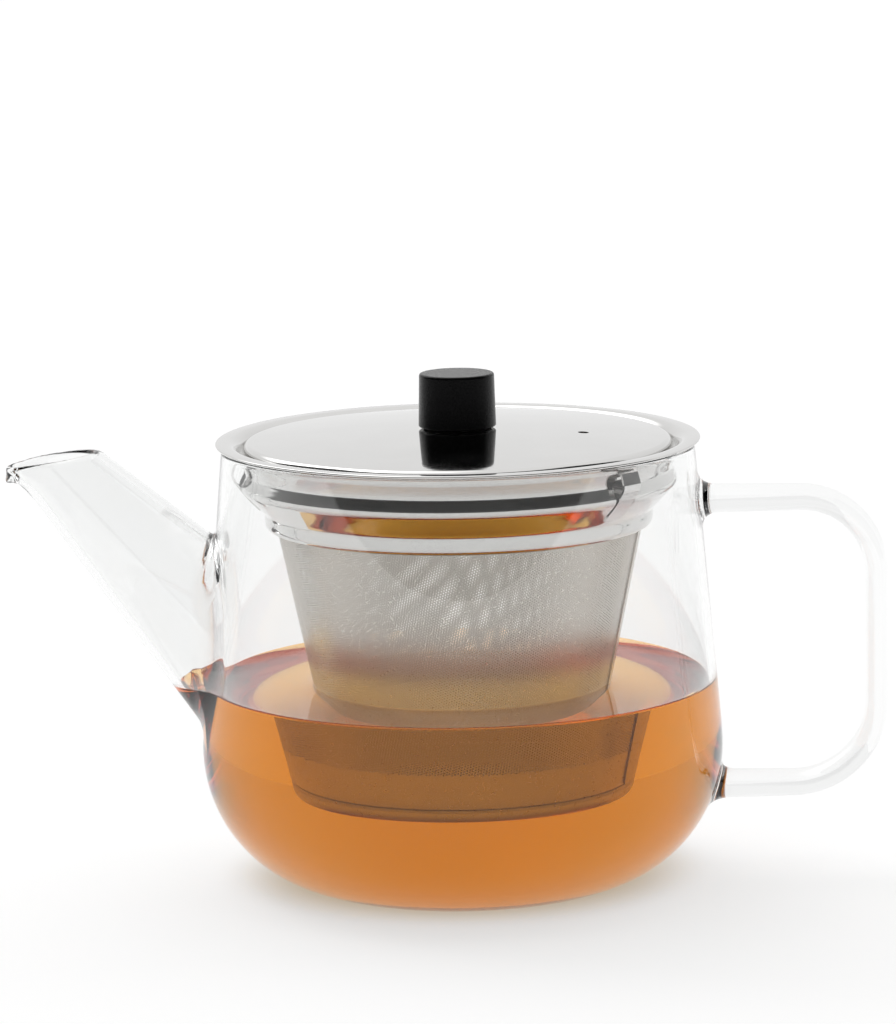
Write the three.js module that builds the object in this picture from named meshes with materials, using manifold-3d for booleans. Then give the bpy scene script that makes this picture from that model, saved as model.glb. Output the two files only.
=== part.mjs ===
// A glass teapot with a lift-out steel infuser basket and a lift-off steel lid.
// Millimetres, +Z up. The origin is the middle of the base, on the axis of the pot;
// the spout points along -X and the handle along +X.

import * as THREE from 'three';
import { mergeVertices } from 'three/addons/utils/BufferGeometryUtils.js';
import Module from 'manifold-3d';

const wasm = await Module();
wasm.setup();

// ---------------------------------------------------------------- driving dimensions

const GAP = 0.3; // clearance between neighbouring pieces
const ROUND = 48; // sides of a large turned piece
const SMALL_ROUND = 24; // sides of a small turned piece

// Glass body: an upright wall that leans in towards the rim, over a rounded foot.
const BELLY_R = 65;
const BELLY_Z = 34.5;
const WALL_LEAN = 0.088; // how far the wall leans in, per millimetre of height
const BELLY_SOFTNESS = 3; // height over which the lean starts
const BASE_FLAT_R = 32;
const GLASS_WALL = 2;
const RIM_Z = 110.6;

// Spout: a straight cone, cut level at the mouth, with a small drooping lip.
const SPOUT_APEX = new THREE.Vector3(-145.3, 0, 155.2);
const SPOUT_SLOPE = THREE.MathUtils.degToRad(46.8);
const SPOUT_TAPER = Math.tan(THREE.MathUtils.degToRad(8.2));
const SPOUT_SQUASH = 0.92; // width across over height of the section
const SPOUT_WALL = 1.8;
const SPOUT_START = 60; // stations along the axis, from the apex
const SPOUT_END = 150;
const MOUTH_CORNER = new THREE.Vector3(-88.7, 0, 110);
const MOUTH_TILT = THREE.MathUtils.degToRad(8);
const LIP_CENTRE = new THREE.Vector3(-109.7, 0, 104.5);
const LIP_HALF_SIZE = new THREE.Vector3(3.2, 3.4, 1.2);
const LIP_DROOP = THREE.MathUtils.degToRad(40);

// Handle: an oval glass rod bent into a square loop.
const HANDLE_X = 103.7;
const HANDLE_TOP_Z = 95.2;
const HANDLE_LOW_Z = 22.8;
const HANDLE_ROOT_X = 55; // inside the wall, where it is trimmed to the body
const HANDLE_TOP_BEND = 19;
const HANDLE_LOW_BEND = 21;
const HANDLE_HALF_WIDTH = 5.4;
const HANDLE_HALF_THICK = 2.95; // at the middle of the grip
const HANDLE_EXTRA_THICK = 0.9; // added towards both welds

// Infuser collar: a flange on the rim, a bead and a stepped shoulder, in steel sheet.
const FLANGE_R = 60.05;
const FLANGE_TOP_Z = 111.5;
const SHEET = 0.6;
const COLLAR_FOOT_R = 46.5;
const COLLAR_FOOT_Z = 90.2;

// Three spring tongues, lanced out of the collar, grip the inside of the rim.
const TONGUE_ANGLES = [-43, 73, 189].map(THREE.MathUtils.degToRad);
const TONGUE_WIDTH = 5.8;
const TONGUE_SHEET = 0.5;
const WINDOW_WIDTH = 6.8;
const WINDOW_LOW_Z = 97.4;
const WINDOW_TOP_Z = 107.2;

// Basket: a perforated cone with a cupped base.
const BASKET_SHEET = 0.5;
const BASKET_TOP_Z = 92;
const BASKET_WALL_LOW_Z = 27;
const BASKET_LOW_R = 32.2;
const BASKET_TAPER = 0.206;
const BASKET_BASE_Z = 24.4;

// Lid and knob.
const LID_R = 53;
const LID_APEX_Z = 114.1;
const LID_DOME_R = 521;
const LID_SHEET = 0.8;
const LID_EDGE_ROUND = 1.5;
const LID_SKIRT_R = 52.5;
const LID_SKIRT_Z = 106.3;
const VENT_R = 1.35;
const VENT_CENTRE = new THREE.Vector2(31, -5.5);
const KNOB_LOW_R = 9.6;
const KNOB_TOP_R = 9.3;
const KNOB_LOW_Z = 114.5;
const KNOB_TOP_Z = 127.8;
const KNOB_EDGE = 0.6;
const WASHER_R = 8.2;
const WASHER_LOW_Z = 114.4;
const WASHER_TOP_Z = 115.1;
const INSERT_R = 3;
const INSERT_LOW_Z = 115.7;
const INSERT_TOP_Z = 123.2;
const SCREW_R = 2; // M4
const SCREW_TOP_Z = 121.6;
const SCREW_HEAD_R = 4;
const SCREW_HEAD_HEIGHT = 2.4;

// ---------------------------------------------------------------- finishes

const glass = new THREE.MeshStandardMaterial({
  color: 0xf4f7f7,
  roughness: 0.02,
  metalness: 0,
  transparent: true,
  opacity: 0.35,
});
const polishedSteel = new THREE.MeshStandardMaterial({ color: 0xd9d9d7, roughness: 0.08, metalness: 1 });
const etchedSteel = new THREE.MeshStandardMaterial({ color: 0xa9a59d, roughness: 0.35, metalness: 1 });
const blackPlastic = new THREE.MeshStandardMaterial({ color: 0x141414, roughness: 0.55, metalness: 0 });
const greySilicone = new THREE.MeshStandardMaterial({ color: 0x2b2b2b, roughness: 0.7, metalness: 0 });
const brass = new THREE.MeshStandardMaterial({ color: 0xb5904f, roughness: 0.3, metalness: 1 });

// ---------------------------------------------------------------- solids and outlines

/** Makes a solid from a closed geometry: shared corners merged, empty triangles dropped. */
function toSolid(geometry) {
  const bare = geometry.clone();
  bare.deleteAttribute('normal');
  bare.deleteAttribute('uv');
  const merged = mergeVertices(bare, 1e-4);
  const corners = merged.index.array;
  const kept = [];
  for (let i = 0; i < corners.length; i += 3) {
    const [a, b, c] = corners.slice(i, i + 3);
    if (a !== b && b !== c && c !== a) kept.push(a, b, c);
  }
  return new wasm.Manifold(
    new wasm.Mesh({
      numProp: 3,
      vertProperties: new Float32Array(merged.attributes.position.array),
      triVerts: new Uint32Array(kept),
    }),
  );
}

/** Turns a solid back into a geometry. */
function toGeometry(shape) {
  const mesh = shape.getMesh();
  const geometry = new THREE.BufferGeometry();
  geometry.setAttribute('position', new THREE.BufferAttribute(mesh.vertProperties, 3));
  geometry.setIndex(new THREE.BufferAttribute(mesh.triVerts, 1));
  geometry.computeVertexNormals();
  return geometry;
}

/** Spins an outline of [radius, height] points round Z. It runs up the outside first. */
function revolve(outline, sides = ROUND) {
  const points = outline.map(([radius, height]) => new THREE.Vector2(radius, height));
  const onAxis = points[0].x === 0 && points.at(-1).x === 0;
  if (!onAxis) points.push(points[0].clone());
  const geometry = new THREE.LatheGeometry(points, sides);
  geometry.rotateX(Math.PI / 2);
  return toSolid(geometry);
}

/** A round bar along Z between two heights. */
function bar(radius, low, high, sides = SMALL_ROUND) {
  return revolve([[0, low], [radius, low], [radius, high], [0, high]], sides);
}

/** A box with its centre and turn about one axis. */
function block(size, centre, axis = new THREE.Vector3(0, 0, 1), angle = 0) {
  const geometry = new THREE.BoxGeometry(...size);
  geometry.applyQuaternion(new THREE.Quaternion().setFromAxisAngle(axis, angle));
  geometry.translate(...centre);
  return toSolid(geometry);
}

/** The points of a quarter ellipse, from the angle `from` to the angle `to`. */
function arc(centre, radii, from, to, steps) {
  const points = [];
  for (let i = 0; i <= steps; i += 1) {
    const angle = from + ((to - from) * i) / steps;
    points.push([centre[0] + radii[0] * Math.cos(angle), centre[1] + radii[1] * Math.sin(angle)]);
  }
  return points;
}

/** The closed outline of a sheet whose outer face follows `face`, thickened to its left. */
function sheetOutline(face, thickness) {
  const back = face.map((point, i) => {
    const before = face[Math.max(i - 1, 0)];
    const after = face[Math.min(i + 1, face.length - 1)];
    const run = [after[0] - before[0], after[1] - before[1]];
    const scale = thickness / Math.hypot(...run);
    return [point[0] - run[1] * scale, point[1] + run[0] * scale];
  });
  return [...face, ...back.reverse()];
}

// ---------------------------------------------------------------- the fused glass pot

/** Radius of the glass wall above the belly, `inset` inside its outer face. */
function wallRadius(z, inset) {
  const rise = z - BELLY_Z;
  return BELLY_R - inset - WALL_LEAN * (Math.hypot(rise, BELLY_SOFTNESS) - BELLY_SOFTNESS);
}

/** Half outline of the pot from the axis at the base up to the height `top`. */
function potOutline(inset, top) {
  const foot = arc(
    [BASE_FLAT_R, BELLY_Z],
    [BELLY_R - BASE_FLAT_R - inset, BELLY_Z - inset],
    -Math.PI / 2,
    0,
    9,
  );
  const wall = [];
  const steps = 5;
  for (let i = 1; i <= steps; i += 1) {
    const z = BELLY_Z + ((top - BELLY_Z) * i) / steps;
    wall.push([wallRadius(z, inset), z]);
  }
  return [[0, inset], ...foot, ...wall];
}

/** The outer form of the pot as one lump, grown by `gap`, to trim what is welded on. */
function potForm(gap) {
  const top = RIM_Z + 20;
  return revolve([...potOutline(-gap, top), [0, top]]);
}

/** A straight cone on the spout's axis, `inset` inside its outer face. */
function spoutCone(inset, start, end) {
  const startRadius = start * SPOUT_TAPER - inset;
  const endRadius = end * SPOUT_TAPER - inset;
  const cone = new THREE.CylinderGeometry(startRadius, endRadius, end - start, 40);
  cone.scale(1, 1, SPOUT_SQUASH);
  const towardsMouth = new THREE.Vector3(-Math.cos(SPOUT_SLOPE), 0, Math.sin(SPOUT_SLOPE));
  const across = new THREE.Vector3(0, 1, 0);
  const below = new THREE.Vector3().crossVectors(towardsMouth, across);
  const place = new THREE.Matrix4().makeBasis(below, towardsMouth, across);
  place.setPosition(SPOUT_APEX.clone().addScaledVector(towardsMouth, -(start + end) / 2));
  cone.applyMatrix4(place);
  return toSolid(cone);
}

function makeGlassBody() {
  const shell = revolve([...potOutline(0, RIM_Z), ...potOutline(GLASS_WALL, RIM_Z).reverse()]);
  return shell.subtract(spoutCone(SPOUT_WALL, SPOUT_START, SPOUT_END));
}

function makeSpoutLip() {
  const lip = new THREE.SphereGeometry(1, 16, 10);
  lip.scale(LIP_HALF_SIZE.x, LIP_HALF_SIZE.y, LIP_HALF_SIZE.z);
  lip.rotateY(-LIP_DROOP);
  lip.translate(LIP_CENTRE.x, LIP_CENTRE.y, LIP_CENTRE.z);
  return toSolid(lip);
}

function makeGlassSpout() {
  const cutHeight = 40;
  const aboveMouth = new THREE.Vector3(-Math.sin(MOUTH_TILT), 0, Math.cos(MOUTH_TILT));
  const cutCentre = MOUTH_CORNER.clone().addScaledVector(aboveMouth, cutHeight / 2);
  const mouthCut = block([140, 60, cutHeight], cutCentre, new THREE.Vector3(0, 1, 0), -MOUTH_TILT);
  return spoutCone(0, SPOUT_START, SPOUT_END)
    .subtract(mouthCut)
    .add(makeSpoutLip())
    .subtract(spoutCone(SPOUT_WALL, SPOUT_START - 10, SPOUT_END + 10))
    .subtract(potForm(GAP));
}

/** The middle line of the handle: two level arms and an upright grip, with round bends. */
function handlePath() {
  const bend = 0.5523; // how far a Bezier arm reaches to draw a quarter circle
  const at = (x, z) => new THREE.Vector3(x, 0, z);
  const topIn = HANDLE_X - HANDLE_TOP_BEND;
  const topDown = HANDLE_TOP_Z - HANDLE_TOP_BEND;
  const lowIn = HANDLE_X - HANDLE_LOW_BEND;
  const lowUp = HANDLE_LOW_Z + HANDLE_LOW_BEND;
  const path = new THREE.CurvePath();
  path.add(new THREE.LineCurve3(at(HANDLE_ROOT_X, HANDLE_TOP_Z), at(topIn, HANDLE_TOP_Z)));
  path.add(
    new THREE.CubicBezierCurve3(
      at(topIn, HANDLE_TOP_Z),
      at(topIn + bend * HANDLE_TOP_BEND, HANDLE_TOP_Z),
      at(HANDLE_X, topDown + bend * HANDLE_TOP_BEND),
      at(HANDLE_X, topDown),
    ),
  );
  path.add(new THREE.LineCurve3(at(HANDLE_X, topDown), at(HANDLE_X, lowUp)));
  path.add(
    new THREE.CubicBezierCurve3(
      at(HANDLE_X, lowUp),
      at(HANDLE_X, lowUp - bend * HANDLE_LOW_BEND),
      at(lowIn + bend * HANDLE_LOW_BEND, HANDLE_LOW_Z),
      at(lowIn, HANDLE_LOW_Z),
    ),
  );
  path.add(new THREE.LineCurve3(at(lowIn, HANDLE_LOW_Z), at(HANDLE_ROOT_X, HANDLE_LOW_Z)));
  return path;
}

function makeGlassHandle() {
  const path = handlePath();
  const rod = new THREE.CylinderGeometry(1, 1, 1, 16, 44);
  const across = new THREE.Vector3(0, 1, 0);
  const corners = rod.attributes.position;
  for (let i = 0; i < corners.count; i += 1) {
    const along = corners.getY(i) + 0.5;
    const outward = new THREE.Vector3().crossVectors(path.getTangentAt(along), across);
    const thick = HANDLE_HALF_THICK + HANDLE_EXTRA_THICK * (2 * along - 1) ** 2;
    const place = path.getPointAt(along);
    place.addScaledVector(outward, corners.getX(i) * thick);
    place.addScaledVector(across, corners.getZ(i) * HANDLE_HALF_WIDTH);
    corners.setXYZ(i, place.x, place.y, place.z);
  }
  return toSolid(rod).subtract(potForm(GAP));
}

// ---------------------------------------------------------------- the infuser

/** The outer face of the collar's sheet, from the flange's edge down to its foot. */
function collarFace() {
  const under = FLANGE_TOP_Z - SHEET;
  const flangeBend = arc([57.2, under - 2.4], [2.4, 2.4], Math.PI / 2, Math.PI, 3);
  const bead = new THREE.SplineCurve(
    [
      [54.8, 108.5],
      [53.1, 105.1],
      [53.5, 103.6],
      [54.2, 102],
      [53.9, 100.6],
      [52.4, 98.9],
      [50.4, 96.8],
      [48.6, 94.9],
      [48.2, 94],
      [48.2, 92.8],
      [48.1, 91.5],
      [47.5, 90.6],
      [COLLAR_FOOT_R, COLLAR_FOOT_Z],
    ].map(([radius, height]) => new THREE.Vector2(radius, height)),
  );
  const beadPoints = bead.getPoints(36).map((point) => [point.x, point.y]);
  return [[FLANGE_R, under], ...flangeBend, ...beadPoints.slice(1)];
}

/** One spring tongue: it leaves the shoulder, bows out to the glass and curls in at its tip. */
function makeTongue(angle) {
  const face = new THREE.SplineCurve([
    new THREE.Vector2(50, 96),
    new THREE.Vector2(52.7, 99),
    new THREE.Vector2(54.9, 102),
    new THREE.Vector2(56.2, 104.7),
    new THREE.Vector2(55.4, 107.9),
  ]);
  const points = face.getPoints(8).map((point) => [point.x, point.y]);
  const outline = sheetOutline(points, TONGUE_SHEET);
  const shape = new THREE.Shape(outline.map(([x, y]) => new THREE.Vector2(x, y)));
  const strip = new THREE.ExtrudeGeometry(shape, { depth: TONGUE_WIDTH, bevelEnabled: false });
  strip.translate(0, 0, -TONGUE_WIDTH / 2);
  strip.rotateX(Math.PI / 2);
  strip.rotateZ(angle);
  return toSolid(strip);
}

/** The opening left in the collar where a tongue was lanced out. */
function makeWindow(angle) {
  const middle = (WINDOW_LOW_Z + WINDOW_TOP_Z) / 2;
  const reach = 53;
  const centre = [reach * Math.cos(angle), reach * Math.sin(angle), middle];
  const size = [12, WINDOW_WIDTH, WINDOW_TOP_Z - WINDOW_LOW_Z];
  return block(size, centre, new THREE.Vector3(0, 0, 1), angle);
}

function makeInfuserCollar() {
  let collar = revolve(sheetOutline(collarFace().reverse(), SHEET));
  for (const angle of TONGUE_ANGLES) {
    collar = collar.subtract(makeWindow(angle)).add(makeTongue(angle));
  }
  return collar;
}

function makeBasketWall() {
  const topR = BASKET_LOW_R + BASKET_TAPER * (BASKET_TOP_Z - BASKET_WALL_LOW_Z);
  return revolve([
    [BASKET_LOW_R, BASKET_WALL_LOW_Z],
    [topR, BASKET_TOP_Z],
    [topR - BASKET_SHEET, BASKET_TOP_Z],
    [BASKET_LOW_R - BASKET_SHEET, BASKET_WALL_LOW_Z],
  ]);
}

/** The cupped base: a rounded foot under the wall and a lip that stands inside it. */
function makeBasketBase() {
  const rimR = BASKET_LOW_R - 0.2;
  const corner = 2.4;
  const rimZ = BASKET_WALL_LOW_Z - GAP;
  const lipR = BASKET_LOW_R - BASKET_SHEET - GAP;
  const lipZ = rimZ + 4;
  const foot = arc([rimR - corner, BASKET_BASE_Z + corner], [corner, corner], -Math.PI / 2, 0, 4);
  return revolve([
    [0, BASKET_BASE_Z],
    ...foot,
    [rimR, rimZ],
    [lipR, rimZ],
    [lipR, lipZ],
    [lipR - BASKET_SHEET, lipZ],
    [lipR - BASKET_SHEET, BASKET_BASE_Z + 2.2],
    [lipR - 2.2, BASKET_BASE_Z + BASKET_SHEET],
    [0, BASKET_BASE_Z + BASKET_SHEET],
  ]);
}

// ---------------------------------------------------------------- the lid

/** Height of the lid's domed top at a radius. */
function lidHeight(radius) {
  return LID_APEX_Z - radius ** 2 / (2 * LID_DOME_R);
}

function makeLidDisc() {
  const hole = SCREW_R + GAP;
  const shoulderR = LID_R - LID_EDGE_ROUND;
  const shoulderZ = lidHeight(shoulderR) - LID_EDGE_ROUND;
  const round = arc([shoulderR, shoulderZ], [LID_EDGE_ROUND, LID_EDGE_ROUND], 0, Math.PI / 2, 3);
  const dome = [44, 34, 22, 11, hole].map((radius) => [radius, lidHeight(radius)]);
  const face = [[LID_SKIRT_R, LID_SKIRT_Z], ...round, ...dome];
  const disc = revolve(sheetOutline(face, LID_SHEET));
  const ventBar = bar(VENT_R, LID_SKIRT_Z, KNOB_TOP_Z, 16).translate([VENT_CENTRE.x, VENT_CENTRE.y, 0]);
  return disc.subtract(ventBar);
}

function makeLidKnob() {
  const recessR = WASHER_R + GAP;
  const recessZ = WASHER_TOP_Z + GAP;
  const boreR = INSERT_R + GAP;
  const boreZ = INSERT_TOP_Z + GAP;
  return revolve(
    [
      [0, boreZ],
      [boreR, boreZ],
      [boreR, recessZ],
      [recessR, recessZ],
      [recessR, KNOB_LOW_Z],
      [KNOB_LOW_R - KNOB_EDGE / 2, KNOB_LOW_Z],
      [KNOB_LOW_R, KNOB_LOW_Z + KNOB_EDGE / 2],
      [KNOB_TOP_R, KNOB_TOP_Z - KNOB_EDGE],
      [KNOB_TOP_R - KNOB_EDGE / 3, KNOB_TOP_Z - KNOB_EDGE / 3],
      [KNOB_TOP_R - KNOB_EDGE, KNOB_TOP_Z],
      [0, KNOB_TOP_Z],
    ],
    32,
  );
}

/** A flat ring round the lid's screw. */
function ring(outer, inner, low, high) {
  return revolve([[inner, low], [outer, low], [outer, high], [inner, high]], SMALL_ROUND);
}

function makeKnobWasher() {
  return ring(WASHER_R, SCREW_R + GAP, WASHER_LOW_Z, WASHER_TOP_Z);
}

function makeKnobInsert() {
  return ring(INSERT_R, SCREW_R + GAP, INSERT_LOW_Z, INSERT_TOP_Z);
}

/** A pan-head screw from under the lid, with a cross recess in its head. */
function makeKnobScrew() {
  const headTop = LID_APEX_Z - LID_SHEET - GAP;
  const headLow = headTop - SCREW_HEAD_HEIGHT;
  const recess = [4, 0.9, 2.4];
  return bar(SCREW_HEAD_R, headLow, headTop)
    .add(bar(SCREW_R, headTop - 0.5, SCREW_TOP_Z))
    .subtract(block(recess, [0, 0, headLow]))
    .subtract(block(recess, [0, 0, headLow], new THREE.Vector3(0, 0, 1), Math.PI / 2));
}

// ---------------------------------------------------------------- the assembly

const pieces = [
  ['glass_body', makeGlassBody, glass],
  ['glass_spout', makeGlassSpout, glass],
  ['glass_handle', makeGlassHandle, glass],
  ['infuser_collar', makeInfuserCollar, polishedSteel],
  ['basket_wall', makeBasketWall, etchedSteel],
  ['basket_base', makeBasketBase, etchedSteel],
  ['lid_disc', makeLidDisc, polishedSteel],
  ['lid_knob', makeLidKnob, blackPlastic],
  ['knob_washer', makeKnobWasher, greySilicone],
  ['knob_insert', makeKnobInsert, brass],
  ['knob_screw', makeKnobScrew, polishedSteel],
];

const teapot = new THREE.Group();
for (const [name, make, material] of pieces) {
  const mesh = new THREE.Mesh(toGeometry(make()), material);
  mesh.name = name;
  teapot.add(mesh);
}

export default teapot;
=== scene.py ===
"""Looks for a glass teapot with a lift-out steel infuser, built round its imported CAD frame.

The frame is in metres. Shapes here are worked out in millimetres and scaled as a mesh is made.
The glass pot is one fused piece: a distance field that joins body, spout and handle with
fillets is meshed, and stands for the three glass nodes of the CAD model.
"""

import math

import bmesh
import bpy
import numpy as np
from mathutils import Matrix, Vector


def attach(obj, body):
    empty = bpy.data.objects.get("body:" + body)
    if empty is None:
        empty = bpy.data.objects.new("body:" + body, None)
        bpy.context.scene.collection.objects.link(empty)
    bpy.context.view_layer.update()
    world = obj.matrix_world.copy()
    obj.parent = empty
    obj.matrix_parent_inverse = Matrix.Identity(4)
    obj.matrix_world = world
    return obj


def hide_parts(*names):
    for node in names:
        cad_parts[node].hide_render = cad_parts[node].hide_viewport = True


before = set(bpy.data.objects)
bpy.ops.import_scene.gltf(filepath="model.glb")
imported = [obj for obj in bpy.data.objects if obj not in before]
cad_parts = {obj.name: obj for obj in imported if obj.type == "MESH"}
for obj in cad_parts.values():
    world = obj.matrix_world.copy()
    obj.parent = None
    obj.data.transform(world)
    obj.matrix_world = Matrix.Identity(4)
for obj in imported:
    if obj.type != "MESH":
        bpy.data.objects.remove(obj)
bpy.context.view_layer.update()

MM = 0.001

# ---------------------------------------------------------------- dimensions, in millimetres

# Glass body.
BELLY_R = 65.0
BELLY_Z = 34.5
WALL_LEAN = 0.088
BELLY_SOFTNESS = 3.0
BASE_FLAT_R = 32.0
GLASS_WALL = 2.0
RIM_Z = 110.6
RIM_ROUNDING = 1.3

# Spout: a cone on a sloping axis, cut at the mouth, with a pouring lip.
SPOUT_APEX = np.array([-145.3, 0.0, 155.2])
SPOUT_SLOPE = math.radians(46.8)
SPOUT_HALF_ANGLE = math.radians(8.2)
SPOUT_SQUASH = 0.92
SPOUT_WALL = 1.8
SPOUT_END = 150.0
MOUTH_CORNER = np.array([-88.7, 0.0, 110.0])
MOUTH_TILT = math.radians(8)
LIP_PLACE = np.array([-109.7, 0.0, 104.6])
LIP_HALF = (3.2, 3.2, 1.3)
LIP_DROOP = math.radians(42)
LIP_BLEND = 2.4
LIP_PULL = np.array([-1.4, 0.0, -1.2])
LIP_PULL_PLACE = np.array([-108.5, 0.0, 106.0])
LIP_PULL_REACH = 4.5
WELD_BLEND = 1.6  # between spout and body, at the crotch over the spout
WELD_SIDE_BLEND = 7.0
WELD_SIDE_Y = 14.0

# Handle.
HANDLE_X = 103.7
HANDLE_TOP_Z = 95.2
HANDLE_LOW_Z = 22.8
HANDLE_ROOT_X = 55.0
HANDLE_TOP_BEND = 19.0
HANDLE_LOW_BEND = 21.0
HANDLE_HALF_WIDTH = 5.4
HANDLE_HALF_THICK = 2.95
HANDLE_EXTRA_THICK = 0.9
HANDLE_FILLET = 4.0

# Tea.
TEA_Z = 50.0
TEA_OVERLAP = 0.06  # how far the tea's mesh reaches into the glass, so that no air shows between
TEA_FILM = 0.02  # from the tea's bulk to its surface, which is a sheet of its own
MENISCUS_RISE = 1.5
MENISCUS_REACH = 1.6
BASKET_MENISCUS_RISE = 0.7

# Infuser.
FLANGE_R = 60.05
FLANGE_TOP_Z = 111.5
SHEET = 0.6
FLANGE_BEND_R = 2.4
FLANGE_RUN_IN = 0.6  # flat, between the bend and the flange
COLLAR_KNOTS = [
    (54.8, 108.5),
    (53.1, 105.1),
    (53.5, 103.6),
    (54.2, 102),
    (53.9, 100.6),
    (52.4, 98.9),
    (50.4, 96.8),
    (48.6, 94.9),
    (48.2, 94),
    (48.2, 92.8),
    (48.1, 91.5),
    (47.5, 90.6),
    (46.5, 90.2),
]
TONGUE_KNOTS = [(50, 96), (52.7, 99), (54.9, 102), (56.2, 104.7), (55.4, 107.9)]
TONGUE_ANGLES = [math.radians(angle) for angle in (-43, 73, 189)]
TONGUE_WIDTH = 5.8
TONGUE_SHEET = 0.5
WINDOW_WIDTH = 6.8
WINDOW_DEPTH = 12
WINDOW_MIDDLE_R = 53
WINDOW_LOW_Z = 97.4
WINDOW_TOP_Z = 107.2
BASKET_SHEET = 0.3
BASKET_TOP_Z = 92.0
BASKET_LOW_Z = 27.0
BASKET_LOW_R = 32.2
BASKET_TAPER = 0.206
BASKET_BASE_Z = 24.4
BASKET_BASE_SHEET = 0.5
BASKET_STATIONS = 361  # of the mesh, round the cone
BASKET_ROWS = 34
BASE_STEP_IN = 0.2  # from the wall's outer face at its foot to the base's side
BASE_GAP = 0.3
LIP_STEP_IN = 0.8
LIP_RISE = 4
FOOT_ROUND = 2.4
FOOT_INNER_ROUND = 1.9

# The etched holes lie on a straight grid in the flat sheet, which is then rolled into a cone.
HOLE_PITCH = 0.69
HOLE_R = 0.19
HOLES_LOW_Z = 34.5
HOLES_TOP_Z = 91.2
SEAM_ANGLE = math.radians(-14)  # of the sheet's outer end
SEAM_LAP = math.radians(8)
SEAM_LIFT = 1.1  # of the outer end over the inner one, in sheets
SEAM_MARGIN = math.radians(18)  # without holes, from the outer end

# Lid and knob.
LID_R = 53.0
LID_APEX_Z = 114.1
LID_DOME_R = 521.0
LID_SHEET = 0.8
LID_EDGE_ROUND = 1.5
LID_SKIRT_R = 52.5
LID_SKIRT_Z = 106.3
SCREW_HOLE_R = 2.3
VENT_R = 1.35
VENT_PLACE = (31.0, -5.5)
KNOB_LOW_R = 9.6
KNOB_TOP_R = 9.3
KNOB_LOW_Z = 114.5
KNOB_TOP_Z = 127.8
KNOB_RECESS_R = 8.5
KNOB_RECESS_Z = 115.4
KNOB_BORE_R = 3.3
KNOB_BORE_Z = 123.5

# Angles between the points of the glass, in degrees, and how far the fine ones reach.
FINE_TURN = 0.6
COARSE_TURN = 1.8
MOUTH_TURN = 0.3
HANDLE_SPREAD = 9.0
SPOUT_SPREAD = 21.0
MOUTH_SPREAD = 6.0

# Stretches of radius and height in which the glass is meshed, as (start, end, step).
GLASS_RADII = (
    (0.6, 30.6, 3.0),
    (30.6, 56.6, 1.3),
    (56.6, 66.0, 0.7),
    (66.0, 87.0, 1.0),
    (87.0, 114.0, 0.5),
)
GLASS_HEIGHTS = (
    (-0.9, 3.3, 0.7),
    (3.3, 40.3, 1.1),
    (40.3, 99.7, 1.0),
    (99.7, 108.7, 0.5),
    (108.7, 112, 0.3),
)

# The rings of the tea's mesh.
LOWEST_DIP = -88  # degrees, as seen from the middle of the tea's surface
SIDE_RINGS = 50
WIDEST_REACH = 90.0  # farther than any glass is from the pot's axis
HALVINGS = 30  # of that reach, to find the glass

# ---------------------------------------------------------------- meshes


def make_object(name, points, faces):
    """A smooth mesh object from points in millimetres."""
    mesh = bpy.data.meshes.new(name)
    mesh.from_pydata((np.asarray(points) * MM).tolist(), [], np.asarray(faces, object).tolist())
    mesh.validate()
    mesh.polygons.foreach_set("use_smooth", [True] * len(mesh.polygons))
    piece = bpy.data.objects.new(name, mesh)
    bpy.context.scene.collection.objects.link(piece)
    return piece


def apply_modifiers(piece):
    """Keeps what the piece's modifiers make of its mesh, and drops the modifiers."""
    depsgraph = bpy.context.evaluated_depsgraph_get()
    mesh = bpy.data.meshes.new_from_object(piece.evaluated_get(depsgraph))
    piece.modifiers.clear()
    piece.data = mesh


def combine(piece, tool, operation):
    """Cuts the tool's solid from the piece, or joins it on, and removes the tool."""
    modifier = piece.modifiers.new("combine", "BOOLEAN")
    modifier.operation = operation
    modifier.solver = "EXACT"
    modifier.object = tool
    bpy.context.view_layer.update()
    apply_modifiers(piece)
    bpy.data.objects.remove(tool)


def sharpen(piece, degrees=35):
    """Smooth shading, but for edges that turn by more than the angle."""
    piece.data.polygons.foreach_set("use_smooth", [True] * len(piece.data.polygons))
    piece.data.set_sharp_from_angle(angle=math.radians(degrees))


def rounded(corners, hold=0.08, steps=6):
    """Points of an outline whose corners are (x, z, radius), with arcs in place of the corners.

    A point is added just outside each arc, so that smooth shading keeps to the arc.
    """
    points = [np.array(corners[0][:2], float)]
    for before, corner, after in zip(corners, corners[1:], corners[2:]):
        place = np.array(corner[:2], float)
        way_in = place - np.array(before[:2], float)
        way_out = np.array(after[:2], float) - place
        way_in /= np.linalg.norm(way_in)
        way_out /= np.linalg.norm(way_out)
        turn = math.acos(float(np.clip(way_in @ way_out, -1, 1)))
        cut = corner[2] * math.tan(turn / 2)
        start, end = place - way_in * cut, place + way_out * cut
        points.append(start - way_in * hold)
        for i in range(steps + 1):
            t = i / steps
            first = start + (place - start) * t
            second = place + (end - place) * t
            points.append(first + (second - first) * t)
        points.append(end + way_out * hold)
    points.append(np.array(corners[-1][:2], float))
    return np.array(points)


def spline(knots, steps):
    """A smooth curve through the knots, with the given steps between each two."""
    knots = np.array(knots, float)
    points = []
    for i in range(len(knots) - 1):
        a, b = knots[i], knots[i + 1]
        before, after = knots[max(i - 1, 0)], knots[min(i + 2, len(knots) - 1)]
        lean_a, lean_b = (b - before) / 2, (after - a) / 2
        for t in np.arange(steps) / steps:
            cubic = (2 * a - 2 * b + lean_a + lean_b) * t**3
            square = (3 * b - 3 * a - 2 * lean_a - lean_b) * t**2
            points.append(cubic + square + lean_a * t + a)
    points.append(knots[-1])
    return np.array(points)


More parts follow.
